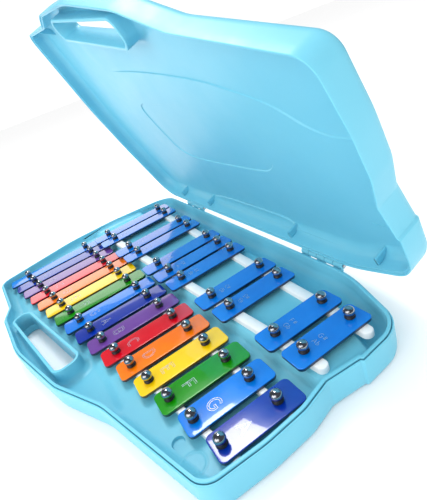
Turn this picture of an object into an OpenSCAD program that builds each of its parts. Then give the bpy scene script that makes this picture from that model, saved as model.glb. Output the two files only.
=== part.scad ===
// Chromatic glockenspiel of 27 notes in a hinged moulded carrying case, shown with its lid open.
// X runs from the low notes to the high notes, +Y to the hinge and +Z up.
// The origin is the centre of the base's flat underside.

/* [Bars] */
// Distance from one natural bar to the next
pitch = 22; // [20:0.5:24]
// Width of every bar
bar_w = 18; // [16:0.5:18.5]
// Thickness of every bar
bar_t = 2.2; // [1.8:0.1:2.5]
// Corner radius of every bar
bar_corner = 3.2; // [1:0.1:5]

/* [Case] */
// Height of the base, from its underside to the parting plane
base_h = 20; // [18:0.5:24]
// Depth of the lid, from the parting plane to its outer face
lid_h = 17; // [15:0.5:20]
// Thickness of the case's walls
wall = 2.4; // [2:0.1:3]
// How far the lid stands open, from closed
open_angle = 70.4; // [0:0.1:180]

/* [Deck and rails] */
// Height of the inner tray's floor, round the handle and along the hinge
tray_z = 7.6; // [6:0.2:8.6]
// Height of the deck under the naturals
deck_z = 9.4; // [9:0.2:10.4]
// How much higher the sharps lie than the naturals
sharp_rise = 4.4; // [3.5:0.1:5]
// Height of the rails that carry the bars
rail_h = 4; // [3.5:0.1:5]
// Width of the rails under the sharps
rail_w = 7; // [5:0.5:8]
// Width of the rails under the naturals
low_rail_w = 4.4; // [4:0.2:8]

/* [Pins and grommets] */
// Diameter of a pin's domed head
head_d = 6.6; // [6:0.1:7.5]
// Diameter of a pin's shank
shank_d = 2.4; // [2:0.1:3]
// Diameter of a grommet's collar, above the bar
collar_d = 6; // [5.2:0.1:6.4]
// Diameter of the hole in a bar
bar_hole_d = 5; // [4:0.1:5.5]

/* [Hinge] */
// Outer radius of a hinge knuckle
knuckle_r = 2.6; // [2.4:0.1:3]
// Diameter of a hinge pin
hinge_pin_d = 2.4; // [2:0.1:3]
// Length of one knuckle
knuckle_len = 8; // [6:0.5:9]

/* [Hidden] */
$fn = 48;
eps = 0.01;
running_gap = 0.1;         // between the lid and the base where they close
lip_gap = 0.2;             // beside and under the lid's lip
side_gap = 0.4;            // between neighbouring knuckles

// Plan outline of the case. Each corner is [x, y, radius].
OUTLINE = [
    [-167, -110.5, 14], [-92, -103, 20], [-70, -108.5, 24],
    [-2, -100.5, 120], [66, -79, 60], [108, -57, 60],
    [190, -31, 13], [191.5, 2, 70], [190, 25, 25],
    [185.5, 42, 3], [187.5, 61.5, 0.3], [189, 62.5, 0.3],
    [186, 93.5, 22], [134, 111, 90], [-176, 111, 26],
    [-190.5, 35, 110], [-190.5, -22, 110]
];
back_y = 111;              // the straight back wall's outer face

// Finger hole of the carrying handle
HANDLE_HOLE = [[-57, -98.5, 5], [53, -74.5, 6], [50.5, -58, 6], [-61.5, -86.5, 6]];

// Where the deck ends towards the handle and towards the hinge
DECK_EDGE = [
    [-220, -102], [-80, -97], [-67, -81], [51, -51.5], [117, -50],
    [130, -68], [220, -68], [220, 97], [-220, 97]
];

// The note rows. Index 0 is the lowest natural; a sharp lies half a pitch above its natural.
NATURALS = ["g5", "a5", "b5", "c6", "d6", "e6", "f6", "g6",
            "a6", "b6", "c7", "d7", "e7", "f7", "g7", "a7"];
SHARPS = [[0, "gs5"], [1, "as5"], [3, "cs6"], [4, "ds6"], [6, "fs6"], [7, "gs6"],
          [8, "as6"], [10, "cs7"], [11, "ds7"], [13, "fs7"], [14, "gs7"]];
COLOURS = ["dodgerblue", "mediumblue", "mediumpurple", "red", "orange", "gold", "green"];

// Straight lines that the rows keep to: y at the lowest natural, and the rise per note
NAT_FRONT = [-99.7, 5.4];
NAT_BACK = [5.9, 1.7];
NAT_PIN_FRONT = [-79.2, 4.4];
NAT_PIN_BACK = [-11.8, 2.1];
SHARP_FRONT = [-1.1, 2.64];
SHARP_BACK = [95, -0.42];
SHARP_PIN_FRONT = [16, 2.15];
SHARP_PIN_BACK = [83, -0.17];
SHARP_STEP = [10.5, 1.9];  // front edge of the raised part of the deck

first_x = -7.1 * pitch;
bar_z = deck_z + rail_h;
collar_h = 2.6;
dome_z = bar_t + 2.9;      // underside of a head, above the bar's underside
dome_rise = 4.2;
deck_skin = 2.2;
hinge_y = back_y + knuckle_r + 0.3;
HINGE_X = [-98.5, 106];    // middles of the two hinges
LID_RIBS = [[-128, 111], [-61, 111], [73, 111], [157, 103.3]]; // x of each rib, and y of the wall behind it
knuckles = 5;
lap = 1.1;                 // width and height of the stepped joint round the rim
web_near = lap + 0.3;      // a knuckle's web starts and ends this far from the axis
web_far = knuckle_r + 1.6;

function note_x(i) = first_x + i * pitch;
function on(line, i) = line[0] + line[1] * i;
function turned(v) = [v[1], -v[0]];

// An outline moved inwards by d: each side is shifted, and neighbours are crossed again.
// A corner of less than 1 mm stays as sharp as it was.
function unit(v) = v / norm(v);
function cross2(a, b) = a[0] * b[1] - a[1] * b[0];
function side_dir(c, i) = let (n = len(c), a = c[(i + n) % n], b = c[(i + 1) % n])
    unit([b[0] - a[0], b[1] - a[1]]);
function shifted(c, i, d) = let (n = len(c), a = c[(i + n) % n]) [a[0], a[1]] - d * turned(side_dir(c, i));
function inset(c, d) = [
    for (i = [0 : len(c) - 1])
        let (
            u = side_dir(c, i - 1),
            v = side_dir(c, i),
            p = shifted(c, i - 1, d),
            q = shifted(c, i, d),
            t = cross2(q - p, v) / cross2(u, v),
            r = c[i][2],
            bulges = cross2(u, v) > 0
        )
        [p[0] + t * u[0], p[1] + t * u[1], r < 1 ? r : max(0.5, bulges ? r - d : r + d)]
];

// Each corner becomes an arc that touches both its sides
function rounded(c) = [
    for (i = [0 : len(c) - 1])
        let (
            u = side_dir(c, i - 1),
            v = side_dir(c, i),
            turn = asin(max(-1, min(1, cross2(u, v)))),
            bend = (u * v >= 0) ? turn : sign(turn) * 180 - turn,
            t = c[i][2] * abs(tan(bend / 2)),
            start = [c[i][0], c[i][1]] - t * u,
            inward = (bend > 0 ? -1 : 1) * turned(u),
            centre = start + c[i][2] * inward,
            steps = c[i][2] < 1 ? 1 : max(2, round(abs(bend) / 9))
        )
        for (k = [0 : steps])
            let (a = bend * k / steps)
            centre - c[i][2] * (inward * cos(a) - u * sin(abs(a)))
];

module plan(corners, d = 0) {
    polygon(rounded(d == 0 ? corners : inset(corners, d)));
}

module prism(corners, z0, z1, d = 0) {
    translate([0, 0, z0]) linear_extrude(z1 - z0) plan(corners, d);
}

module tube_round_hole(z0, z1) {
    difference() {
        prism(HANDLE_HOLE, z0, z1, -wall);
        prism(HANDLE_HOLE, z0 - 1, z1 + 1);
    }
}

// ---- case ----

module knuckle_row(centre_x, first, bore_d, web_up) {
    span = knuckles * knuckle_len;
    for (k = [first : 2 : knuckles - 1])
        translate([centre_x - span / 2 + k * knuckle_len + side_gap / 2, hinge_y, base_h])
            rotate([0, 90, 0])
                difference() {
                    union() {
                        cylinder(r = knuckle_r, h = knuckle_len - side_gap);
                        translate([web_up ? -web_far : web_near, back_y - hinge_y - 0.6, 0])
                            cube([web_far - web_near, hinge_y - back_y + 0.6, knuckle_len - side_gap]);
                    }
                    translate([0, 0, -1]) cylinder(d = bore_d, h = knuckle_len + 2);
                }
}

module base_shell() color([0.66, 0.85, 0.91]) {
    difference() {
        union() {
            prism(OUTLINE, 2, base_h - lap);
            prism(OUTLINE, 0, 2, 1.6);
            prism(OUTLINE, base_h - lap - eps, base_h, lap);
        }
        difference() {
            prism(OUTLINE, wall, base_h + 1, wall);
            prism(HANDLE_HOLE, 0, base_h, -wall);
        }
        prism(HANDLE_HOLE, -1, base_h + 1);
    }
    for (x = HINGE_X) knuckle_row(x, 0, hinge_pin_d, false);
}

module closed_lid() {
    top = base_h + lid_h;
    difference() {
        union() {
            prism(OUTLINE, base_h + running_gap, top - 3);
            prism(OUTLINE, top - 3 - eps, top - 1, 1.2);
            prism(OUTLINE, top - 1 - eps, top, 3);
            difference() {
                prism(OUTLINE, base_h - lap + lip_gap, base_h + 1);
                prism(OUTLINE, 0, base_h + 2, lap - lip_gap);
            }
        }
        difference() {
            prism(OUTLINE, base_h - 2, top - wall, wall);
            prism(HANDLE_HOLE, base_h + running_gap, top, -wall);
        }
        prism(HANDLE_HOLE, base_h - 2, top + 1);
    }
    for (x = HINGE_X) knuckle_row(x, 1, hinge_pin_d + 0.1, true);
    for (rib = LID_RIBS)
        translate([rib[0] - 0.9, rib[1] - wall - 6, base_h + 3])
            cube([1.8, 6.4, lid_h - wall - 3 + eps]);
}

module lid_shell() color([0.66, 0.85, 0.91])
    translate([0, hinge_y, base_h])
        rotate([-open_angle, 0, 0])
            translate([0, -hinge_y, -base_h]) closed_lid();

module hinge_pin(centre_x) color("silver")
    translate([centre_x - knuckles * knuckle_len / 2 - 0.5, hinge_y, base_h])
        rotate([0, 90, 0]) cylinder(d = hinge_pin_d, h = knuckles * knuckle_len + 1);

// ---- deck, rails and what holds the bars ----

module at_naturals(front) {
    for (i = [0 : len(NATURALS) - 1])
        translate([note_x(i), on(front ? NAT_PIN_FRONT : NAT_PIN_BACK, i), bar_z]) children();
}

module at_sharps(front) {
    for (s = SHARPS)
        translate([note_x(s[0] + 0.5), on(front ? SHARP_PIN_FRONT : SHARP_PIN_BACK, s[0] + 0.5),
                   bar_z + sharp_rise]) children();
}

module at_every_pin() {
    for (front = [true, false]) {
        at_naturals(front) children();
        at_sharps(front) children();
    }
}

// Plans of the inner tray, of its deck and of the deck's raised half, drawn in by d
module tray_plan(d) {
    difference() {
        plan(OUTLINE, wall + 0.3 + d);
        plan(HANDLE_HOLE, -wall - 0.3 - d);
    }
}

module deck_plan(d) {
    intersection() {
        plan(OUTLINE, wall + 0.3 + d);
        translate([0, d]) polygon(DECK_EDGE);
        translate([0, -d]) polygon(DECK_EDGE);
    }
}

module raised_plan(d) {
    intersection() {
        deck_plan(d);
        translate([0, d])
            polygon([[-230, on(SHARP_STEP, -3.4)], [230, on(SHARP_STEP, 17.5)], [230, 200], [-230, 200]]);
    }
}

module bar_deck() color([0.62, 0.83, 0.9])
    difference() {
        union() {
            translate([0, 0, wall]) linear_extrude(tray_z - wall) tray_plan(0);
            translate([0, 0, tray_z - eps]) linear_extrude(deck_z - tray_z + eps) deck_plan(0);
            translate([0, 0, deck_z - eps]) linear_extrude(sharp_rise + eps) raised_plan(0);
        }
        translate([0, 0, wall - 1]) linear_extrude(tray_z - deck_skin - wall + 1)
            tray_plan(deck_skin);
        translate([0, 0, wall + 0.5]) linear_extrude(deck_z - deck_skin - wall - 0.5)
            deck_plan(deck_skin + 0.4);
        translate([0, 0, wall + 1]) linear_extrude(deck_z + sharp_rise - deck_skin - wall - 1)
            raised_plan(deck_skin + 0.8);
        at_every_pin() translate([0, 0, -rail_h - deck_skin - 1])
            cylinder(d = shank_d, h = deck_skin + 2, $fn = 20);
        translate([152.5, -29.5, deck_z - 1.6]) cylinder(d = 7.2, h = 3);
    }

// A rail runs straight under one row of pins and has round ends
module rail(line, i0, i1, z, w) {
    a = [note_x(i0), on(line, i0)];
    b = [note_x(i1), on(line, i1)];
    slope = atan2(b[1] - a[1], b[0] - a[0]);
    translate([a[0], a[1], z]) rotate([0, 0, slope]) linear_extrude(rail_h) {
        translate([0, -w / 2]) square([norm(b - a), w]);
        circle(d = w);
        translate([norm(b - a), 0]) circle(d = w);
    }
}

module natural_rail(line, front) color("white")
    difference() {
        rail(line, -0.35, 15.35, deck_z, low_rail_w);
        at_naturals(front) translate([0, 0, -rail_h - 1])
            cylinder(d = shank_d, h = rail_h + 2, $fn = 20);
    }

module sharp_rail(line, front) color("white")
    difference() {
        rail(line, 0.1, 15, deck_z + sharp_rise, rail_w);
        at_sharps(front) translate([0, 0, -rail_h - 1])
            cylinder(d = shank_d, h = rail_h + 2, $fn = 20);
    }

// Rubber sleeve: a neck through the bar and a collar over it
module grommet() {
    rotate_extrude($fn = 24) polygon([
        [shank_d / 2, 0], [bar_hole_d / 2 - 0.1, 0], [bar_hole_d / 2 - 0.1, bar_t],
        [collar_d / 2, bar_t], [collar_d / 2, bar_t + collar_h * 0.7],
        [collar_d / 2 - 1, bar_t + collar_h], [shank_d / 2, bar_t + collar_h]
    ]);
}

// Domed pin: its head rests on the sleeve, and its shank goes through the rail into the deck
module bar_pin() {
    rotate_extrude($fn = 24) polygon(concat(
        [[0, -rail_h - deck_skin - 0.4], [shank_d / 2, -rail_h - deck_skin - 0.4],
         [shank_d / 2, bar_t + collar_h], [head_d / 2 - 0.9, bar_t + collar_h]],
        [for (a = [-10 : 20 : 90])
            [head_d / 2 * cos(a), dome_z + dome_rise * 0.35 + dome_rise * 0.65 * max(-0.3, sin(a))]]
    ));
}

module grommets(sharp, front) color([0.08, 0.08, 0.09]) {
    if (sharp) at_sharps(front) grommet();
    else at_naturals(front) grommet();
}

module pins(sharp, front) color("silver") {
    if (sharp) at_sharps(front) bar_pin();
    else at_naturals(front) bar_pin();
}

// ---- bars ----

module bar(x, z, ends, holes, tint) color(tint)
    translate([x, 0, z]) difference() {
        linear_extrude(bar_t) plan([
            [-bar_w / 2, ends[0], bar_corner], [bar_w / 2, ends[0], bar_corner],
            [bar_w / 2, ends[1], bar_corner], [-bar_w / 2, ends[1], bar_corner]
        ]);
        for (y = holes) translate([0, y, -1]) cylinder(d = bar_hole_d, h = bar_t + 2);
    }

module natural_bar(i)
    bar(note_x(i), bar_z, [on(NAT_FRONT, i), on(NAT_BACK, i)],
        [on(NAT_PIN_FRONT, i), on(NAT_PIN_BACK, i)], COLOURS[i % 7]);

module sharp_bar(i)
    bar(note_x(i), bar_z + sharp_rise, [on(SHARP_FRONT, i), on(SHARP_BACK, i)],
        [on(SHARP_PIN_FRONT, i), on(SHARP_PIN_BACK, i)], "dodgerblue");

base_shell();
lid_shell();
hinge_pin(HINGE_X[0]);  // hinge_pin_low
hinge_pin(HINGE_X[1]);  // hinge_pin_high
bar_deck();
natural_rail(NAT_PIN_FRONT, true);  // rail_naturals_front
natural_rail(NAT_PIN_BACK, false);  // rail_naturals_back
sharp_rail(SHARP_PIN_FRONT, true);  // rail_sharps_front
sharp_rail(SHARP_PIN_BACK, false);  // rail_sharps_back
grommets(false, true);  // grommets_naturals_front
grommets(false, false);  // grommets_naturals_back
grommets(true, true);  // grommets_sharps_front
grommets(true, false);  // grommets_sharps_back
pins(false, true);  // pins_naturals_front
pins(false, false);  // pins_naturals_back
pins(true, true);  // pins_sharps_front
pins(true, false);  // pins_sharps_back
for (i = [0 : len(NATURALS) - 1])
    natural_bar(i);
for (s = SHARPS)
    sharp_bar(s[0] + 0.5);
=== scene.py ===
"""A chromatic glockenspiel in its hinged carrying case: the looks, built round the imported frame.

Lengths are in millimetres until a surface becomes a mesh, and the plan is the one seen from above
with the lid shut: X runs to the high notes, +Y to the hinge and +Z up.
"""
import math

import bmesh
import bpy
import numpy as np
from mathutils import Matrix, Vector
from mathutils.geometry import delaunay_2d_cdt


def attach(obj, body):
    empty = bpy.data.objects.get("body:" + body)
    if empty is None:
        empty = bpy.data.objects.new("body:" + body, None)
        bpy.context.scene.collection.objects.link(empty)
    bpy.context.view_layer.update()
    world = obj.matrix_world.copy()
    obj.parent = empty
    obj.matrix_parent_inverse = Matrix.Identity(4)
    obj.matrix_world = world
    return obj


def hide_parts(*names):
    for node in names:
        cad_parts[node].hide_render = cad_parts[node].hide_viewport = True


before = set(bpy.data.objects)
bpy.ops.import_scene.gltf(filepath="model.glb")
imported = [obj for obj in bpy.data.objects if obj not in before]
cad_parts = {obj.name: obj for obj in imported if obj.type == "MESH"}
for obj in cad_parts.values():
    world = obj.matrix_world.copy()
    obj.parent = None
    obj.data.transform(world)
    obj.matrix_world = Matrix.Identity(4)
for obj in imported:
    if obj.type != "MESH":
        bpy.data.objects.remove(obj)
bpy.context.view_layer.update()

MM = 0.001
PITCH, BAR_WIDTH, BAR_THICK, BAR_CORNER, BORE_R = 22.0, 18.0, 2.2, 3.2, 2.5
BASE_HIGH, LID_DEEP, WALL = 20.0, 17.0, 2.4
OPEN_ANGLE = math.radians(70.4)
TRAY_Z, DECK_Z, SHARP_RISE, RAIL_HIGH = 7.6, 9.4, 4.4, 4.0
NATURAL_RAIL, SHARP_RAIL = 4.4, 7.0
HINGE_Y, KNUCKLE_R = 113.9, 2.6
FIRST_X = -7.1 * PITCH
BAR_Z = DECK_Z + RAIL_HIGH

# Corners of the case's plan: x, y and radius
CASE = [(-167, -110.5, 14), (-92, -103, 20), (-70, -108.5, 24), (-2, -100.5, 120), (66, -79, 60),
        (108, -57, 60), (190, -31, 13), (191.5, 2, 70), (190, 25, 25), (185.5, 42, 3),
        (187.5, 61.5, 0.3), (189, 62.5, 0.3), (186, 93.5, 22), (134, 111, 90), (-176, 111, 26),
        (-190.5, 35, 110), (-190.5, -22, 110)]
HANDLE = [(-57, -98.5, 5), (53, -74.5, 6), (50.5, -58, 6), (-61.5, -86.5, 6)]
DECK_EDGE = [(-240, -102), (-80, -97), (-67, -81), (51, -51.5), (117, -50), (130, -68),
             (240, -68), (240, 97), (-240, 97)]
STEP_Y, STEP_SLOPE = 10.5, 1.9
# A round dimple in the tray's floor and a low ring-shaped ridge beside it
DISH, DISH_R, DISH_DEEP = (152.5, -29.5), 3.7, 1.6
RIDGE, RIDGE_HIGH = (168.5, -28.0), 0.3
LID_SWEEP = [(-75, -47), (-40, -43.5), (-12, -40), (29, -33), (76, -23), (94, -17), (116, -9),
             (129, -3.5), (139, 4), (148, 11), (159, 15.5), (166, 16), (200, 17)]
LID_TEAR = [(-66, -7), (-54, -13), (-35, -11), (5, -9), (33, -3), (68, 4), (89, 7), (96, 12),
            (99, 20), (99, 31), (96.5, 40), (87, 47), (78, 49), (45, 49.5), (6, 49), (-31, 47.5),
            (-53, 40), (-60, 22), (-64, 10)]
LID_LEDGE = [(-61, 120), (-61, 98), (50, 98), (64, 99.5), (72, 103), (76, 108), (77, 120)]
# Ribs: x and the wall's y. Gussets: x, y and the way they point
LID_RIBS = [(-128, 111), (-61, 111), (73, 111), (157, 103.3)]
LID_GUSSETS = [(123.3, -49.6, 1.88), (-131.8, -104.7, 1.67), (186, 69, 3.24)]

NATURALS = "g5 a5 b5 c6 d6 e6 f6 g6 a6 b6 c7 d7 e7 f7 g7 a7".split()
SHARPS = [(0, "gs5"), (1, "as5"), (3, "cs6"), (4, "ds6"), (6, "fs6"), (7, "gs6"), (8, "as6"),
          (10, "cs7"), (11, "ds7"), (13, "fs7"), (14, "gs7")]
NATURAL_ROW = dict(front=(-99.7, 5.4), back=(5.9, 1.7), pin_front=(-79.2, 4.4),
                   pin_back=(-11.8, 2.1))
SHARP_ROW = dict(front=(-1.1, 2.64), back=(95, -0.42), pin_front=(16, 2.15), pin_back=(83, -0.17))


# ---------------------------------------------------------------- outlines

def left_of(v):
    return np.stack([-v[:, 1], v[:, 0]], 1)


def cross(a, b):
    return a[:, 0] * b[:, 1] - a[:, 1] * b[:, 0]


def outline(corners, inset=0.0, turn=6.0):
    """A closed line through rounded corners, drawn in by inset. Each side moves along its normal,
    neighbours are crossed again, and the arc between them has its radius less or more the inset.
    An arc has a stretch for every `turn` degrees and every 3.5 mm, so all insets have the same
    points."""
    c = np.asarray(corners, float)
    p, radius = c[:, :2], c[:, 2]
    side = np.roll(p, -1, 0) - p
    side /= np.linalg.norm(side, axis=1)[:, None]
    into = np.roll(side, 1, 0)
    bend = np.arctan2(cross(into, side), (into * side).sum(1))
    a, b = p + inset * left_of(into), p + inset * left_of(side)
    meet = a + (cross(b - a, side) / cross(into, side))[:, None] * into
    r = np.where(radius < 1, radius, np.maximum(0.5, radius - np.sign(bend) * inset))
    inward = np.sign(bend)[:, None] * left_of(into)
    centre = meet - (r * np.abs(np.tan(bend / 2)))[:, None] * into + r[:, None] * inward
    steps = np.maximum(np.ceil(np.degrees(abs(bend)) / turn), np.ceil(abs(bend) * radius / 3.5))
    steps = np.where(radius < 1, 1, np.maximum(3, steps)).astype(int)
    which = np.repeat(np.arange(len(c)), steps + 1)
    k = np.arange(len(which)) - np.repeat(np.cumsum(steps + 1) - (steps + 1), steps + 1)
    angle = (bend[which] * k / steps[which])[:, None]
    arm = -(r[:, None] * inward)[which]
    return centre[which] + arm * np.cos(angle) + left_of(arm) * np.sin(angle)


def softened(points, closed, rounds=3):
    """Cuts every corner at a quarter and three quarters of its sides, `rounds` times over."""
    p = np.asarray(points, float)
    for _ in range(rounds):
        q = np.roll(p, -1, 0) if closed else p[1:]
        s = p if closed else p[:-1]
        cut = np.stack([0.75 * s + 0.25 * q, 0.25 * s + 0.75 * q], 1).reshape(-1, 2)
        p = cut if closed else np.vstack([p[:1], cut, p[-1:]])
    return p


def spaced(line, step, closed=True):
    """The line's points set out again, `step` apart along it."""
    p = np.vstack([line, line[:1]]) if closed else np.asarray(line, float)
    run = np.concatenate([[0], np.cumsum(np.linalg.norm(np.diff(p, axis=0), axis=1))])
    at = np.linspace(0, run[-1], max(3, int(run[-1] / step)) + 1)
    out = np.stack([np.interp(at, run, p[:, 0]), np.interp(at, run, p[:, 1])], 1)
    return out[:-1] if closed else out


def distance(points, line, closed=True):
    """Shortest way from each point to the line: its foot on every stretch, kept within the ends."""
    a = np.asarray(line, float)
    b = np.roll(a, -1, 0) if closed else a[1:]
    a = a if closed else a[:-1]
    d = b - a
    size = np.maximum((d ** 2).sum(1), 1e-12)
    out = np.empty(len(points))
    for i in range(0, len(points), 4000):
        w = points[i:i + 4000, None, :] - a[None]
        t = np.clip((w * d).sum(2) / size, 0, 1)
        out[i:i + 4000] = np.sqrt((((w - t[..., None] * d) ** 2).sum(2)).min(1))
    return out


def inside(points, line):
    """True where a line to the right of a point crosses the closed line an odd number of times."""
    a = np.asarray(line, float)
    b = np.roll(a, -1, 0)
    out = np.empty(len(points), bool)
    for i in range(0, len(points), 4000):
        x, y = points[i:i + 4000, 0:1], points[i:i + 4000, 1:2]
        spans = (a[:, 1] > y) != (b[:, 1] > y)
        rise = np.where(b[:, 1] == a[:, 1], 1e-9, b[:, 1] - a[:, 1])
        at = a[:, 0] + (y - a[:, 1]) / rise * (b[:, 0] - a[:, 0])
        out[i:i + 4000] = (spans & (x < at)).sum(1) % 2 == 1
    return out


def depth(points, line):
    """Distance to the closed line, negative outside it."""
    return distance(points, line) * np.where(inside(points, line), 1, -1)


def ease(t):
    """0 to 1 with level ends: 3t^2 - 2t^3."""
    t = np.clip(t, 0, 1)
    return t * t * (3 - 2 * t)


# ---------------------------------------------------------------- surfaces

class Skin:
    """Points and faces of one piece, gathered in millimetres."""

    def __init__(self):
        self.points, self.faces, self.marks, self.count = [], [], [], 0

    def add(self, points, faces, mark=0):
        self.points.append(np.asarray(points, float))
        self.faces += (np.asarray(faces) + self.count).tolist()
        self.marks += [mark] * len(faces)
        self.count += len(points)

    def bands(self, rings, mark=0, closed=True, looped=False):
        """Four-sided faces between ring k and ring k+1, from point i to point i+1."""
        rings = np.asarray(rings, float)
        k, n = rings.shape[:2]
        i = np.arange(n if closed else n - 1)
        j = (i + 1) % n
        row = np.arange(k if looped else k - 1)[:, None] * n
        up = (row + n) % (k * n)
        faces = np.stack([row + i, row + j, up + j, up + i], -1).reshape(-1, 4)
        self.add(rings.reshape(-1, 3), faces, mark)

    def sheet(self, outer, holes=(), extra=None, height=None, mark=0, down=False):
        """The plan inside `outer` and outside `holes`, in triangles that use the extra points;
        rings keep their own z, and the extra points take theirs from height(points)."""
        loops = [np.asarray(outer, float)] + [np.asarray(h, float) for h in holes]
        extra = np.zeros((0, 2)) if extra is None else extra
        z = height(extra) if len(extra) else np.zeros(0)
        points = np.vstack(loops + [np.column_stack([extra, z])])
        edges, start = [], 0
        for loop in loops:
            n = len(loop)
            edges += [(start + i, start + (i + 1) % n) for i in range(n)]
            start += n
        found = delaunay_2d_cdt([Vector(p) for p in points[:, :2].tolist()], edges, [], 0, 1e-6)
        corners = np.array([tuple(v) for v in found[0]])
        tri = np.array(found[2])
        origin = np.array([o[0] for o in found[3]])
        middle = corners[tri].mean(1)
        keep = inside(middle, loops[0][:, :2])
        for loop in loops[1:]:
            keep &= ~inside(middle, loop[:, :2])
        tri = tri[keep]
        a, b, c = (corners[tri[:, i]] for i in range(3))
        wrong = (cross(b - a, c - a) < 0) != down
        tri[wrong] = tri[wrong][:, ::-1]
        self.add(points[origin], tri, mark)

    def bead(self, path, width, low, high, closed=False, mark=0):
        """A low rib along a plan path: its cross-section is a rectangle between two heights."""
        p = np.asarray(path, float)
        if closed:
            run = np.roll(p, -1, 0) - np.roll(p, 1, 0)
        else:
            run = np.gradient(p, axis=0)
        run /= np.maximum(np.linalg.norm(run, axis=1), 1e-9)[:, None]
        off = left_of(run) * width / 2
        ring = np.stack([np.column_stack([p + s * off, np.full(len(p), z)])
                         for s, z in ((1, low), (-1, low), (-1, high), (1, high))], 1)
        self.bands(ring, mark, looped=closed)
        if not closed:
            last = self.count - len(p) * 4
            self.faces += [[last, last + 3, last + 2, last + 1],
                           [self.count - 4, self.count - 3, self.count - 2, self.count - 1]]
            self.marks += [mark, mark]

    def lathe(self, profile, centre, segments=32, mark=0):
        """A profile of radius and height turned about an upright axis; radius 0 closes a pole."""
        turn = np.linspace(0, 2 * math.pi, segments, endpoint=False)
        r, z = np.asarray(profile, float).T
        rings = np.stack([centre[0] + r[:, None] * np.cos(turn),
                          centre[1] + r[:, None] * np.sin(turn),
                          np.broadcast_to(centre[2] + z[:, None], (len(r), segments))], -1)
        self.bands(rings, mark)

    def box(self, low, high, soft=0.3, mark=0):
        """A block with chamfered edges: eight-cornered rings that shrink at both ends."""
        x0, y0, z0 = low
        x1, y1, z1 = high
        rings = []
        for z, s in ((z0, soft), (z0 + soft, 0), (z1 - soft, 0), (z1, soft)):
            a = outline([(x0 + s, y0 + s, 1), (x1 - s, y0 + s, 1), (x1 - s, y1 - s, 1),
                         (x0 + s, y1 - s, 1)], turn=45)
            rings.append(np.column_stack([a, np.full(len(a), z)]))
        n = len(rings[0])
        self.bands(rings, mark)
        first = self.count - 4 * n
        self.faces += [list(range(first, first + n))[::-1],
                       list(range(self.count - n, self.count))]
        self.marks += [mark, mark]

    def piece(self, name, body, materials, nodes=(), sharp=32.0, turn=None, thick=0.0):
        """The gathered faces as one object, its doubles merged and its faces turned outwards."""
        points = np.vstack(self.points)
        if turn is not None:
            points = turn(points)
        name = name.replace(" ", "-")
        mesh = bpy.data.meshes.new(name)
        mesh.from_pydata((points * MM).tolist(), [], self.faces)
        mesh.polygons.foreach_set("material_index", np.array(self.marks, np.int32))
        work = bmesh.new()
        work.from_mesh(mesh)
        bmesh.ops.remove_doubles(work, verts=work.verts, dist=2e-6)
        bmesh.ops.dissolve_degenerate(work, dist=1e-6, edges=work.edges)
        bmesh.ops.recalc_face_normals(work, faces=work.faces)
        work.to_mesh(mesh)
        work.free()
        mesh.shade_smooth()
        mesh.set_sharp_from_angle(angle=math.radians(sharp))
        for m in materials:
            mesh.materials.append(m)
        obj = bpy.data.objects.new(name, mesh)
        bpy.context.scene.collection.objects.link(obj)
        if thick:
            wall = obj.modifiers.new("wall thickness", "SOLIDIFY")
            wall.thickness, wall.offset = thick * MM, -1
        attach(obj, body)
        if nodes:
            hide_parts(*nodes)
        return obj


def ring(corners, inset, z):
    line = outline(corners, inset)
    return np.column_stack([line, np.full(len(line), z)])


def rings(corners, profile, sign=1):
    """One ring for every (inset, z) of a profile. A hole takes sign -1: insets grow outwards."""
    return np.stack([ring(corners, sign * d, z) for d, z in profile])


# ---------------------------------------------------------------- finishes

def socket(group, name, kind, way, value=None):
    s = group.interface.new_socket(name=name, in_out=way, socket_type=kind)
    if value is not None:
        s.default_value = value
    return s


def make_grain_group():
    """Fine moulding grain: two noises of different size, added, as a height and as a mask."""
    g = bpy.data.node_groups.new("moulding grain", "ShaderNodeTree")
    socket(g, "Fine Scale", "NodeSocketFloat", "INPUT", 900)
    socket(g, "Broad Scale", "NodeSocketFloat", "INPUT", 30)
    socket(g, "Height", "NodeSocketFloat", "OUTPUT")
    socket(g, "Mask", "NodeSocketFloat", "OUTPUT")
    n, link = g.nodes, g.links.new
    into, out = n.new("NodeGroupInput"), n.new("NodeGroupOutput")
    place = n.new("ShaderNodeTexCoord")
    fine, broad = n.new("ShaderNodeTexNoise"), n.new("ShaderNodeTexNoise")
    fine.inputs["Detail"].default_value = 3
    broad.inputs["Detail"].default_value = 4
    broad.inputs["Roughness"].default_value = 0.6
    link(place.outputs["Object"], fine.inputs["Vector"])
    link(place.outputs["Object"], broad.inputs["Vector"])
    link(into.outputs["Fine Scale"], fine.inputs["Scale"])
    link(into.outputs["Broad Scale"], broad.inputs["Scale"])
    total = n.new("ShaderNodeMath")
    total.operation = "MULTIPLY_ADD"
    link(broad.outputs["Fac"], total.inputs[0])
    total.inputs[1].default_value = 1.5
    link(fine.outputs["Fac"], total.inputs[2])
    link(total.outputs[0], out.inputs["Height"])
    span = n.new("ShaderNodeMapRange")
    span.inputs["From Min"].default_value = 0.3
    span.inputs["From Max"].default_value = 0.7
    link(broad.outputs["Fac"], span.inputs["Value"])
    link(span.outputs["Result"], out.inputs["Mask"])
    return g


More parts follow.
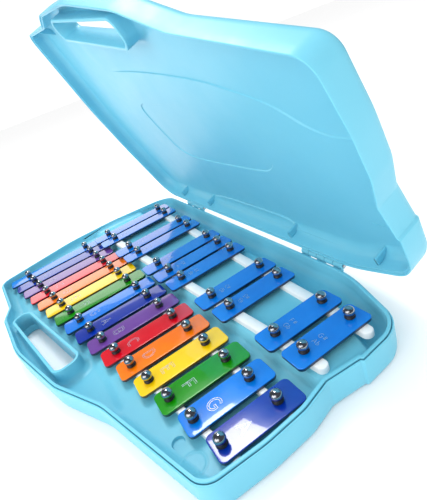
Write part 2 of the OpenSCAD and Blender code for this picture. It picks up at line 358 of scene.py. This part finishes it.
def make_drift_group():
    """Slow change from one colour to another, with a little fine speckle over it."""
    g = bpy.data.node_groups.new("colour drift", "ShaderNodeTree")
    socket(g, "Colour", "NodeSocketColor", "INPUT", (0.5, 0.5, 0.5, 1))
    socket(g, "Other Colour", "NodeSocketColor", "INPUT", (0.4, 0.4, 0.4, 1))
    socket(g, "Scale", "NodeSocketFloat", "INPUT", 12)
    socket(g, "Colour Out", "NodeSocketColor", "OUTPUT")
    n, link = g.nodes, g.links.new
    into, out = n.new("NodeGroupInput"), n.new("NodeGroupOutput")
    place, noise = n.new("ShaderNodeTexCoord"), n.new("ShaderNodeTexNoise")
    noise.inputs["Detail"].default_value = 6
    noise.inputs["Roughness"].default_value = 0.65
    link(place.outputs["Object"], noise.inputs["Vector"])
    link(into.outputs["Scale"], noise.inputs["Scale"])
    span = n.new("ShaderNodeMapRange")
    span.inputs["From Min"].default_value = 0.35
    span.inputs["From Max"].default_value = 0.65
    link(noise.outputs["Fac"], span.inputs["Value"])
    mix = n.new("ShaderNodeMix")
    mix.data_type = "RGBA"
    link(span.outputs["Result"], mix.inputs["Factor"])
    link(into.outputs["Colour"], mix.inputs["A"])
    link(into.outputs["Other Colour"], mix.inputs["B"])
    link(mix.outputs["Result"], out.inputs["Colour Out"])
    return g


GRAIN, DRIFT = make_grain_group(), make_drift_group()


def srgb(r, g, b):
    """Screen values of 0 to 255 as light."""
    v = np.array([r, g, b]) / 255
    return tuple(np.where(v <= 0.04045, v / 12.92, ((v + 0.055) / 1.055) ** 2.4)) + (1.0,)


def finish(name, colour, other=None, rough=(0.3, 0.4), fine=900, broad=30, drift=12, bump=0.02,
           deep=0.0002, metal=0.0, coat=0.0, coat_rough=0.05, subsurface=0.0, specular=0.5,
           ior=1.5):
    """A finish with drifting colour, grain as relief and roughness that follows the grain."""
    m = bpy.data.materials.new(name)
    m.use_nodes = True
    n, link = m.node_tree.nodes, m.node_tree.links.new
    shader = n["Principled BSDF"]
    other = other or tuple(c * 0.93 for c in colour[:3]) + (1.0,)
    tint = n.new("ShaderNodeGroup")
    tint.node_tree = DRIFT
    tint.inputs["Colour"].default_value = colour
    tint.inputs["Other Colour"].default_value = other
    tint.inputs["Scale"].default_value = drift
    link(tint.outputs["Colour Out"], shader.inputs["Base Color"])
    grain = n.new("ShaderNodeGroup")
    grain.node_tree = GRAIN
    grain.inputs["Fine Scale"].default_value = fine
    grain.inputs["Broad Scale"].default_value = broad
    span = n.new("ShaderNodeMapRange")
    span.inputs["To Min"].default_value, span.inputs["To Max"].default_value = rough
    link(grain.outputs["Mask"], span.inputs["Value"])
    link(span.outputs["Result"], shader.inputs["Roughness"])
    relief = n.new("ShaderNodeBump")
    relief.inputs["Strength"].default_value = bump
    relief.inputs["Distance"].default_value = deep
    link(grain.outputs["Height"], relief.inputs["Height"])
    link(relief.outputs["Normal"], shader.inputs["Normal"])
    shader.inputs["Metallic"].default_value = metal
    shader.inputs["Coat Weight"].default_value = coat
    shader.inputs["Coat Roughness"].default_value = coat_rough
    shader.inputs["Specular IOR Level"].default_value = specular
    shader.inputs["IOR"].default_value = ior
    if subsurface:
        shader.inputs["Subsurface Weight"].default_value = subsurface
        shader.inputs["Subsurface Radius"].default_value = (0.6, 1.0, 1.0)
        shader.inputs["Subsurface Scale"].default_value = 0.003
    return m


PLASTIC = finish("case plastic", srgb(114, 195, 218), srgb(106, 191, 215), rough=(0.36, 0.46),
                 fine=1400, broad=45, drift=8, bump=0.10, subsurface=0.12)
RAIL_WHITE = finish("white rail", srgb(244, 246, 246), srgb(232, 236, 238), rough=(0.35, 0.5),
                    fine=1800, broad=90, bump=0.08, drift=60)
RUBBER = finish("black rubber", srgb(22, 22, 26), srgb(34, 34, 38), rough=(0.25, 0.4),
                fine=2600, broad=300, bump=0.12, drift=200)
CHROME = finish("dark polished metal", srgb(182, 183, 188), srgb(160, 162, 168), rough=(0.06, 0.12),
                fine=4000, broad=400, bump=0.01, drift=250, metal=1.0)
STEEL = finish("hinge steel", srgb(180, 184, 190), srgb(140, 146, 154), rough=(0.2, 0.35),
               fine=3000, broad=300, bump=0.05, drift=150, metal=1.0)
STAMPED = finish("stamped bare metal", srgb(206, 212, 226), srgb(176, 184, 202), rough=(0.22, 0.34),
                 fine=3000, broad=500, bump=0.1, drift=300, metal=0.6)
PAINTS = dict(
    blue=(srgb(0, 122, 222), srgb(0, 112, 212)), navy=(srgb(0, 48, 160), srgb(0, 42, 148)),
    purple=(srgb(112, 66, 152), srgb(102, 58, 142)), red=(srgb(218, 6, 30), srgb(204, 0, 26)),
    orange=(srgb(250, 124, 0), srgb(242, 112, 0)), yellow=(srgb(250, 204, 0), srgb(242, 194, 0)),
    green=(srgb(22, 142, 4), srgb(16, 128, 2)))
ENAMEL = {k: finish(k + " enamel", a, b, rough=(0.16, 0.24), fine=700, broad=60, drift=40,
                    bump=0.015, coat=1.0, coat_rough=0.03) for k, (a, b) in PAINTS.items()}
# Painted shade: the bars' sides, the walls of their holes and their undersides take the same enamel
# darkened by this factor, standing in for the light those faces lack
PAINTED_SHADE_FACTOR = 0.10
PAINTED_SHADE_ENAMEL = {k: finish(k + " enamel painted shade", tuple(c * PAINTED_SHADE_FACTOR for c in a[:3]) + (1,), None,
                  rough=(0.25, 0.4), fine=900, broad=90, drift=60, bump=0.03, coat=0.6,
                  coat_rough=0.1)
        for k, (a, _) in PAINTS.items()}
BAR_TINT = dict(g="blue", a="navy", b="purple", c="red", d="orange", e="yellow", f="green")


# ---------------------------------------------------------------- the case's base

def grid(corners, step, inset):
    """Points in rows with every second row set half a step over, inside the plan by `inset`."""
    line = outline(corners, inset)
    low, high = line.min(0), line.max(0)
    x, y = np.meshgrid(np.arange(low[0], high[0], step), np.arange(low[1], high[1], step * 0.866))
    x = x + (np.arange(len(y)) % 2)[:, None] * step / 2
    p = np.column_stack([x.ravel(), y.ravel()])
    return p[inside(p, line)]


def base_shell():
    skin = Skin()
    wall = ([(4.2, 0), (2.6, 0.25), (1.4, 0.95), (0.55, 2.2), (0.15, 4.0), (0, 6.5), (0, 17.9),
             (0.06, 18.35), (0.2, 18.7), (0.45, 18.88), (0.75, 18.88), (0.9, 18.75), (0.94, 18.4),
             (0.96, 17.9), (2.2, 17.9), (WALL, 17.8), (WALL, 3.4), (3.4, WALL)])
    outer = rings(CASE, wall)
    hole = rings(HANDLE, [(1.4, 0), (0.5, 0.3), (0.1, 0.9), (0, 1.8), (0, 6.5), (0.3, 7), (1.2, 7),
                          (2.0, 7), (WALL, 6.6), (WALL, WALL)], -1)
    skin.bands(outer)
    skin.bands(hole)
    skin.sheet(outer[0], [hole[0]], down=True)
    skin.sheet(outer[-1], [hole[-1]])
    return skin.piece("base shell", "base", [PLASTIC], ["base_shell"])


def tray_height(p):
    """Height of the inner tray over the plan: floor, deck and raised half joined by eased slopes,
    a round fillet up to the case's wall and another up to the ring of the handle."""
    wall_gap = depth(p, CASE_LINE)
    ring_gap = -depth(p, HANDLE_LINE)
    deck = depth(p, softened(DECK_EDGE, True, 2))
    z = TRAY_Z + (DECK_Z - TRAY_Z) * ease((deck + 1.0) / 6.5)
    step = (p[:, 1] - STEP_Y - STEP_SLOPE * (p[:, 0] - FIRST_X) / PITCH) + 1.0
    z = z + SHARP_RISE * ease(step / 4.5) * ease((deck + 0.5) / 5)
    for gap, foot, r in ((wall_gap, 3.3, 6.5), (ring_gap, 2.5, 5.0)):
        into = np.clip(foot + r - gap, 0, r * 0.995)
        z = np.maximum(z, z + (r - np.sqrt(r * r - into * into)) * np.where(gap < foot + r, 1, 0))
    dish = np.hypot(p[:, 0] - DISH[0], p[:, 1] - DISH[1])
    z = z - DISH_DEEP * ease((DISH_R - dish) / 0.35)
    ridge = np.hypot(p[:, 0] - RIDGE[0], p[:, 1] - RIDGE[1])
    z = z + RIDGE_HIGH * ease((ridge - 5.4) / 0.6) * ease((7.0 - ridge) / 0.6)
    return np.minimum(z, 19)


CASE_LINE, HANDLE_LINE = outline(CASE), outline(HANDLE)


def round_marks(centre, radii, step=0.9):
    """Points set round a centre on circles of the given radii."""
    out = []
    for r in radii:
        a = np.linspace(0, 2 * math.pi, max(8, int(2 * math.pi * r / step)), endpoint=False)
        out.append(np.column_stack([centre[0] + r * np.cos(a), centre[1] + r * np.sin(a)]))
    return np.vstack(out)


def thin_out(points, clear):
    """Drops every point that lies within `clear` of an earlier one, on a coarse grid of cells."""
    cell = np.round(points / clear).astype(int)
    _, first = np.unique(cell, axis=0, return_index=True)
    return points[np.sort(first)]


def inner_tray():
    skin = Skin()
    wall_edge, ring_edge = 3.8, 2.9

    def edge_ring(corners, sign, inset):
        line = outline(corners, sign * inset)
        return np.column_stack([line, tray_height(line)])

    rim = [(1.32, 17.95), (1.32, 19.75), (1.5, 19.95), (1.8, 20.0), (2.6, 20.0), (2.9, 19.92),
           (3.08, 19.7), (3.15, 19.2), (3.25, 16.0)]
    outer = list(rings(CASE, rim))
    for inset in (3.4, 3.55, wall_edge):
        outer.append(edge_ring(CASE, 1, inset))
    hoop = [(0.02, 6.9), (0.02, 19.2), (0.15, 19.7), (0.5, 20.0), (1.7, 20.0), (2.1, 19.85),
            (2.3, 19.4), (2.42, 16.0)]
    inner = list(rings(HANDLE, hoop, -1))
    for inset in (2.55, 2.7, ring_edge):
        inner.append(edge_ring(HANDLE, -1, inset))
    skin.bands(outer)
    skin.bands(inner)
    lines = [outline(CASE, d, 3) for d in (4.3, 5.0, 6.0, 7.2, 8.6, 10)]
    lines += [outline(HANDLE, -d, 8) for d in (3.3, 3.9, 4.7, 5.8, 7.4)]
    extra = [spaced(l, 2.2) for l in lines]
    edge = softened(DECK_EDGE, True, 2)
    fine = grid(CASE, 1.3, 6)
    deck = depth(fine, edge)
    step = fine[:, 1] - STEP_Y - STEP_SLOPE * (fine[:, 0] - FIRST_X) / PITCH
    near = (abs(deck - 2) < 5) | (abs(step - 1) < 3.2)
    extra += [fine[near], round_marks((152.5, -29.5), (0.01, 1.6, 2.9, 3.34, 3.7, 4.4, 5.4)),
              round_marks((168.5, -28), (4.8, 5.4, 6.0, 6.4, 7.0, 7.8)), grid(CASE, 3.2, 6)]
    extra = thin_out(np.vstack(extra), 0.3)
    extra = extra[(depth(extra, CASE_LINE) > wall_edge + 0.3)
                  & (depth(extra, HANDLE_LINE) < -ring_edge - 0.3)]
    skin.sheet(outer[-1], [inner[-1]], extra, tray_height)
    return skin.piece("inner tray", "base", [PLASTIC], ["bar_deck"], thick=0.9)


# ---------------------------------------------------------------- the lid

SWEEP_LINE = softened(LID_SWEEP, False, 3)
SWEEP_AREA = np.vstack([SWEEP_LINE, [(260, 17), (260, 180), (-260, 180), (-260, -47)]])
TEAR_LINE, LEDGE_LINE = softened(LID_TEAR, True, 3), softened(LID_LEDGE, True, 2)
STEP_DEEP = 0.75
FLOOR_Z = BASE_HIGH + LID_DEEP - WALL


def lid_levels(p):
    """How far the lid's panel lies under its highest level: one step at the sweep, which fades
    out towards the low notes, and one at the teardrop."""
    fade = ease((p[:, 0] + 75) / 45)
    sweep = ease(depth(p, SWEEP_AREA) / 0.7 + 0.5) * fade
    tear = ease(depth(p, TEAR_LINE) / 0.7 + 0.5)
    return STEP_DEEP * (1 + sweep - tear)


def lid_inner(p):
    """Height of the lid's inner face, shut: panel levels, a ledge by the hinge, and round fillets
    down to the wall and to the ring of the handle."""
    z = FLOOR_Z - lid_levels(p)
    z = z - 1.1 * ease(depth(p, LEDGE_LINE) / 0.8 + 0.5)
    for gap, foot, r in ((depth(p, CASE_LINE), WALL, 8.0), (-depth(p, HANDLE_LINE), WALL, 5.0)):
        into = np.clip(foot + r - gap, 0, r * 0.995)
        z = z - (r - np.sqrt(r * r - into * into))
    return z


def lid_outer(p):
    return FLOOR_Z + WALL - lid_levels(p) * ease((depth(p, CASE_LINE) - 7) / 5)


def swing(p):
    """Turns the shut lid about the hinge's axis by the opening angle."""
    c, s = math.cos(-OPEN_ANGLE), math.sin(-OPEN_ANGLE)
    y, z = p[:, 1] - HINGE_Y, p[:, 2] - BASE_HIGH
    return np.column_stack([p[:, 0], HINGE_Y + c * y - s * z, BASE_HIGH + s * y + c * z])


def lid_shell():
    skin = Skin()
    top = BASE_HIGH + LID_DEEP

    def inner_ring(corners, sign, inset):
        line = outline(corners, sign * inset)
        return np.column_stack([line, lid_inner(line)])

    wall = ([inner_ring(CASE, 1, d) for d in (3.8, 3.3, 2.9, 2.6)]
            + list(rings(CASE, [(WALL, 24), (WALL, 20.5), (2.2, 20.2), (1.9, 20.12), (1.05, 20.1),
                                (0.9, 20.0), (0.88, 19.25), (0.7, 19.1), (0.3, 19.1), (0.08, 19.25),
                                (0, 19.6), (0, 24), (0, 30)]
                          + [(6.5 - 6.5 * math.sin(a), 30.5 + 6.5 * math.cos(a))
                             for a in np.linspace(math.pi / 2, 0, 10)][1:])))
    hoop = ([inner_ring(HANDLE, -1, d) for d in (2.95, 2.75, 2.6, 2.45)]
            + list(rings(HANDLE, [(WALL, 24), (WALL, 20.8), (2.2, 20.35), (1.8, 20.12),
                                  (0.5, 20.12), (0.15, 20.35), (0, 20.8), (0, 34.8),
                                  (0.2, 36.0), (0.7, 36.7), (1.3, top)], -1)))
    skin.bands(wall)
    skin.bands(hoop)
    contour = []
    for off in (-0.8, -0.35, 0, 0.35, 0.8):
        for line, closed in ((SWEEP_LINE, False), (TEAR_LINE, True), (LEDGE_LINE, True)):
            s = spaced(line, 1.5, closed)
            run = np.gradient(s, axis=0)
            run /= np.linalg.norm(run, axis=1)[:, None]
            contour.append(s + off * left_of(run))
    contour = np.vstack(contour)
    flat = grid(CASE, 4.0, 12)
    far = np.minimum(distance(flat, SWEEP_LINE, False),
                     np.minimum(distance(flat, TEAR_LINE), distance(flat, LEDGE_LINE)))
    flat = flat[far > 1.6]
    fillets = ([spaced(outline(CASE, d, 3), 2.5) for d in (4.5, 5.3, 6.3, 7.6, 9, 10.6, 12)]
               + [spaced(outline(HANDLE, -d, 8), 2.2) for d in (3.4, 4.0, 4.8, 5.8, 7.2, 9)])
    extra = thin_out(np.vstack([contour] + fillets + [flat]), 0.25)
    gap, hole_gap = depth(extra, CASE_LINE), -depth(extra, HANDLE_LINE)
    use = (gap > 4.1) & (hole_gap > 3.25)
    skin.sheet(wall[0], [hoop[0]], extra[use], lid_inner, down=True)
    use = (gap > 7.2) & (hole_gap > 2.2)
    skin.sheet(wall[-1], [hoop[-1]], extra[use], lid_outer)
    return skin.piece("lid shell", "lid", [PLASTIC], ["lid_shell"], turn=swing)


def lid_ribs():
    """Upright ribs on the lid's hinge wall and triangular gussets between its wall and panel."""
    skin = Skin()
    for x, wall_y in LID_RIBS:
        skin.box((x - 0.9, wall_y - 8.6, 22.6), (x + 0.9, wall_y - 2.0, 34.4), 0.3)
    for x, y, turn in LID_GUSSETS:
        u = np.array([math.cos(turn), math.sin(turn)])
        v = np.array([-math.sin(turn), math.cos(turn)])
        rows = []
        for side in (-0.9, 0.9):
            tri = [(0.2, 21.6), (10.5, 34.3), (-0.8, 34.3), (-0.8, 21.6)]
            rows.append([[x + u[0] * a + v[0] * side, y + u[1] * a + v[1] * side, z]
                         for a, z in tri])
        skin.bands(rows)
        first = skin.count - 8
        skin.faces += [[first + 3, first + 2, first + 1, first],
                       [first + 4, first + 5, first + 6, first + 7]]
        skin.marks += [0, 0]
    skin.bead(softened([(184.5, 68), (178, 68.5), (172, 72.5), (165, 76), (156, 76)], False), 0.7,
              FLOOR_Z - 2 * STEP_DEEP - 0.35, FLOOR_Z - 1)
    return skin.piece("lid ribs", "lid", [PLASTIC], turn=swing)


def knuckles(name, body, first, bore, up, turn=None):
    """Hinge knuckles: short tubes along X whose ends are chamfered, each with a web to the wall."""
    skin = Skin()
    around = np.linspace(0, 2 * math.pi, 28, endpoint=False)
    for centre in (-98.5, 106.0):
        for k in range(first, 5, 2):
            x0 = centre - 20 + k * 8 + 0.2
            x1 = x0 + 7.6
            tube = [(x0, bore), (x0, KNUCKLE_R - 0.35), (x0 + 0.35, KNUCKLE_R),
                    (x1 - 0.35, KNUCKLE_R), (x1, KNUCKLE_R - 0.35), (x1, bore)]
            skin.bands(np.stack([np.column_stack([
                np.full(28, x), HINGE_Y + r * np.cos(around), BASE_HIGH + r * np.sin(around)])
                for x, r in tube]), looped=True)
            low, high = (1.4, 4.2) if up else (-4.2, -1.4)
            skin.box((x0 + 0.2, 110.3, BASE_HIGH + low),
                     (x1 - 0.2, HINGE_Y, BASE_HIGH + high), 0.25)
    return skin.piece(name, body, [PLASTIC], turn=turn)


# ---------------------------------------------------------------- rails, bars and pins

def rail(name, line, i0, i1, z, r, nodes):
    """A straight bar under one row of pins: a long plan with round ends, its top edge eased."""
    a = np.array([FIRST_X + i0 * PITCH, line[0] + line[1] * i0])
    b = np.array([FIRST_X + i1 * PITCH, line[0] + line[1] * i1])
    u = (b - a) / np.linalg.norm(b - a)
    v = np.array([-u[1], u[0]])
    plan = [tuple(q) + (r - 0.01,) for q in (a - u * r - v * r, b + u * r - v * r,
                                              b + u * r + v * r, a - u * r + v * r)]
    skin = Skin()
    rows = rings(plan, [(0, z), (0, z + RAIL_HIGH - 0.7), (0.2, z + RAIL_HIGH - 0.25),
                        (0.7, z + RAIL_HIGH)])
    skin.bands(rows)
    skin.sheet(rows[0], down=True)
    skin.sheet(rows[-1])
    skin.piece(name, "base", [RAIL_WHITE], nodes)


def arc(cx, cy, rx, ry, start, end, n=9):
    a = np.radians(np.linspace(start, end, n))
    return np.column_stack([cx + rx * np.cos(a), cy + ry * np.sin(a)]).tolist()


# Strokes of the note names in a box one high
GLYPHS = {
    "A": [[(0, 0), (0.38, 1), (0.76, 0)], [(0.15, 0.34), (0.61, 0.34)]],
    "B": [[(0, 0), (0, 1), (0.34, 1)] + arc(0.34, 0.77, 0.24, 0.23, 90, -90, 7)
          + [(0, 0.54), (0.36, 0.54)] + arc(0.36, 0.27, 0.27, 0.27, 90, -90, 7) + [(0, 0)]],
    "C": [arc(0.42, 0.5, 0.42, 0.5, 50, 310, 15)],
    "D": [[(0, 0), (0, 1), (0.25, 1)] + arc(0.25, 0.5, 0.45, 0.5, 90, -90, 11) + [(0, 0)]],
    "E": [[(0.6, 1), (0, 1), (0, 0), (0.6, 0)], [(0, 0.52), (0.5, 0.52)]],
    "F": [[(0.6, 1), (0, 1), (0, 0)], [(0, 0.52), (0.5, 0.52)]],
    "G": [arc(0.42, 0.5, 0.42, 0.5, 50, 330, 15) + [(0.8, 0.46), (0.46, 0.46)]],
    "#": [[(0.12, 0.1), (0.22, 0.9)], [(0.42, 0.1), (0.52, 0.9)], [(0, 0.34), (0.6, 0.34)],
          [(0.04, 0.64), (0.64, 0.64)]],
    "b": [[(0, 1), (0, 0), (0.2, 0)] + arc(0.2, 0.27, 0.26, 0.27, -90, 90, 7) + [(0, 0.54)]],
}


def stroke_outline(points, half):
    """The closed line round a stroke, `half` to each side of it, mitred at its bends."""
    p = np.asarray(points, float)
    d = np.diff(p, axis=0)
    d /= np.maximum(np.linalg.norm(d, axis=1), 1e-9)[:, None]
    into, out = np.vstack([d[:1], d]), np.vstack([d, d[-1:]])
    n = left_of(into) + left_of(out)
    n /= np.maximum((n * left_of(into)).sum(1), 0.6)[:, None]
    return np.vstack([p + half * n, (p - half * n)[::-1]])


def write_note(skin, text, x, y, z, high, double, mark):
    """Stamped note name: each stroke is a fine raised line, or the outline round a broad stroke."""
    gap = 0.32 * high
    width = sum(max(q[0] for s in GLYPHS[c] for q in s) * high for c in text)
    width += gap * (len(text) - 1)
    at = x - width / 2
    for c in text:
        for s in GLYPHS[c]:
            p = np.array(s) * high + (at, y - high / 2)
            if double:
                skin.bead(stroke_outline(p, 0.52), 0.27, z - 0.1, z + 0.05, True, mark)
            else:
                skin.bead(p, 0.24, z - 0.1, z + 0.04, False, mark)
        at += max(q[0] for s in GLYPHS[c] for q in s) * high + gap


def bar(node, index, row, z, tint, name, small=()):
    """A flat bar with round corners: side bands with eased edges, two holes, and its note name."""
    x = FIRST_X + index * PITCH
    y0, y1 = (row[k][0] + row[k][1] * index for k in ("front", "back"))
    pins = [row[k][0] + row[k][1] * index for k in ("pin_front", "pin_back")]
    h = BAR_WIDTH / 2
    plan = [(x - h, y0, BAR_CORNER), (x + h, y0, BAR_CORNER), (x + h, y1, BAR_CORNER),
            (x - h, y1, BAR_CORNER)]
    t = BAR_THICK
    side = rings(plan, [(0.3, z), (0.08, z + 0.1), (0, z + 0.3), (0, z + t - 0.36)])
    bevel = rings(plan, [(0, z + t - 0.36), (0.05, z + t - 0.2), (0.16, z + t - 0.07),
                         (0.32, z + t - 0.01), (0.5, z + t)])
    skin = Skin()
    # Finish 1 on the sides, the bore walls and the underside is the darkened copy of the enamel:
    # painted shade
    skin.bands(side, 1)
    skin.bands(bevel, 0)
    turn = np.linspace(0, 2 * math.pi, 24, endpoint=False)
    tops, feet = [], []
    for y in pins:
        bore = np.stack([np.column_stack([x + r * np.cos(turn), y + r * np.sin(turn),
                                          np.full(len(turn), q)])
                         for r, q in ((BORE_R + 0.2, z + t), (BORE_R, z + t - 0.2), (BORE_R, z))])
        skin.bands(bore, 1)
        tops.append(bore[0])
        feet.append(bore[-1])
    skin.sheet(bevel[-1], tops)
    skin.sheet(side[0], feet, down=True, mark=1)
    if small:
        for text, y in zip(small, (pins[0] + 13.4, pins[0] + 8.6)):
            write_note(skin, text, x, y, z + t, 3.0, False, 2)
    else:
        write_note(skin, name, x, pins[0] + 12.6, z + t, 7.4, True, 2)
    skin.piece("bar " + node.replace("bar_", ""), "base",
               [ENAMEL[tint], PAINTED_SHADE_ENAMEL[tint], STAMPED], [node], sharp=40)


HEAD = ([(0, 9.3)] + [(3.3 * math.cos(a), 6.4 + 2.9 * math.sin(a))
                      for a in np.radians(np.arange(80, -41, -10))]
        + [(2.3, 4.5), (1.2, 4.5), (1.2, -5.8), (0.9, -6.6), (0, -6.6)])
SLEEVE = [(1.2, 4.75), (2.2, 4.8), (2.75, 4.62), (2.95, 4.25), (2.9, 3.85), (2.7, 3.6),
          (2.85, 3.35), (3.1, 3.0), (3.12, 2.65), (2.9, 2.35), (2.5, 2.2), (2.4, 2.1), (2.4, 0.02),
          (1.2, 0.02), (1.2, 4.75)]


def pin_row(name, indices, line, z, node, profile, material):
    """The same turned profile set at every bar of a row."""
    skin = Skin()
    for i in indices:
        skin.lathe(profile, (FIRST_X + i * PITCH, line[0] + line[1] * i, z))
    skin.piece(name, "base", [material], [node], sharp=50)


base_shell()
inner_tray()
lid_shell()
lid_ribs()
knuckles("base knuckles", "base", 0, 1.2, False)
knuckles("lid knuckles", "lid", 1, 1.25, True, swing)

natural_at = list(range(16))
sharp_at = [i + 0.5 for i, _ in SHARPS]
rail("front natural rail", NATURAL_ROW["pin_front"], -0.35, 15.35, DECK_Z, NATURAL_RAIL / 2,
     ["rail_naturals_front"])
rail("back natural rail", NATURAL_ROW["pin_back"], -0.35, 15.35, DECK_Z, NATURAL_RAIL / 2,
     ["rail_naturals_back"])
rail("front sharp rail", SHARP_ROW["pin_front"], 0.1, 15, DECK_Z + SHARP_RISE, SHARP_RAIL / 2,
     ["rail_sharps_front"])
rail("back sharp rail", SHARP_ROW["pin_back"], 0.1, 15, DECK_Z + SHARP_RISE, SHARP_RAIL / 2,
     ["rail_sharps_back"])
for i, note in enumerate(NATURALS):
    bar("bar_" + note, i, NATURAL_ROW, BAR_Z, BAR_TINT[note[0]], note[0].upper())
for i, note in SHARPS:
    letter = note[0].upper()
    after = "ABCDEFGA"["ABCDEFG".index(letter) + 1]
    bar("bar_" + note, i + 0.5, SHARP_ROW, BAR_Z + SHARP_RISE, "blue", "",
        (letter + "#", after + "b"))
for kind, at, row, z in (("naturals", natural_at, NATURAL_ROW, BAR_Z),
                         ("sharps", sharp_at, SHARP_ROW, BAR_Z + SHARP_RISE)):
    for place in ("front", "back"):
        line = row["pin_" + place]
        tag = f"{place} {kind[:-1]} "
        pin_row(tag + "pins", at, line, z, f"pins_{kind}_{place}", HEAD, CHROME)
        pin_row(tag + "sleeves", at, line, z, f"grommets_{kind}_{place}", SLEEVE, RUBBER)
for node in ("hinge_pin_low", "hinge_pin_high"):
    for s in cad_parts[node].material_slots:
        s.material = STEEL


# ---------------------------------------------------------------- camera, floor and light

def add_camera():
    az, el, roll = (math.radians(v) for v in (69.976, 26.618, -20.947))
    back = np.array([math.sin(az) * math.cos(el), -math.cos(az) * math.cos(el), math.sin(el)])
    right = np.array([math.cos(az), math.sin(az), 0.0])
    up = np.cross(back, right)
    c, s = math.cos(roll), math.sin(roll)
    right, up = c * right + s * up, -s * right + c * up
    data = bpy.data.cameras.new("studio-camera")
    data.lens, data.sensor_width = 28.2, 36.0
    data.shift_x, data.shift_y = -0.0045, -0.0038
    data.clip_start = 0.01
    cam = bpy.data.objects.new("studio-camera", data)
    turn = Matrix((right, up, back)).transposed().to_4x4()
    turn.translation = (0.2981, -0.0275, 0.1709)
    cam.matrix_world = turn
    bpy.context.scene.collection.objects.link(cam)
    bpy.context.scene.camera = cam


def soft_box(name, place, aim, size, watts, colour=(1, 1, 1)):
    data = bpy.data.lights.new(name, "AREA")
    data.shape, data.size, data.size_y = "RECTANGLE", size[0], size[1]
    data.energy, data.color = watts, colour
    light = bpy.data.objects.new(name, data)
    light.location = place
    light.rotation_euler = (Vector(aim) - Vector(place)).to_track_quat("-Z", "Y").to_euler()
    bpy.context.scene.collection.objects.link(light)
    return light


def add_floor():
    mesh = bpy.data.meshes.new("studio-floor")
    s = 9.0
    mesh.from_pydata([(-s, -s, 0), (s, -s, 0), (s, s, 0), (-s, s, 0)], [], [(0, 1, 2, 3)])
    obj = bpy.data.objects.new("studio-floor", mesh)
    bpy.context.scene.collection.objects.link(obj)
    m = bpy.data.materials.new("pale floor")
    m.use_nodes = True
    shader = m.node_tree.nodes["Principled BSDF"]
    shader.inputs["Base Color"].default_value = (0.97, 0.97, 0.97, 1)
    shader.inputs["Roughness"].default_value = 0.9
    mesh.materials.append(m)


def add_world():
    """White to the camera and for soft light, greyer in mirror reflections, so gloss has depth."""
    world = bpy.data.worlds.new("studio")
    bpy.context.scene.world = world
    world.use_nodes = True
    n, link = world.node_tree.nodes, world.node_tree.links.new
    n.clear()
    out, path = n.new("ShaderNodeOutputWorld"), n.new("ShaderNodeLightPath")
    mix = n.new("ShaderNodeMixShader")
    soft, mirror = n.new("ShaderNodeBackground"), n.new("ShaderNodeBackground")
    soft.inputs["Color"].default_value = (1, 1, 1, 1)
    soft.inputs["Strength"].default_value = 1.08
    mirror.inputs["Color"].default_value = (0.10, 0.11, 0.13, 1)
    mirror.inputs["Strength"].default_value = 1.08
    link(path.outputs["Is Glossy Ray"], mix.inputs[0])
    link(soft.outputs[0], mix.inputs[1])
    link(mirror.outputs[0], mix.inputs[2])
    link(mix.outputs[0], out.inputs["Surface"])


bpy.context.scene.view_settings.view_transform = "Standard"
add_camera()
add_floor()
add_world()
soft_box("front key", (0.9, -0.9, 0.9), (0, 0, 0), (0.9, 0.9), 4)
soft_box("front fill", (0.25, -1.2, 0.55), (0, 0.15, 0.1), (1.0, 0.8), 5)
soft_box("top light", (-0.52, 0.165, 1.2), (-0.52, 0.165, 0), (0.65, 0.33), 9)
card = soft_box("low side card", (-0.75, 0.33, 0.25), (0, 0.33, 0.25), (1.0, 0.5), 2.1)
card.rotation_euler.rotate_axis("Z", math.radians(-18))
card.visible_diffuse = False

bpy.context.view_layer.update()
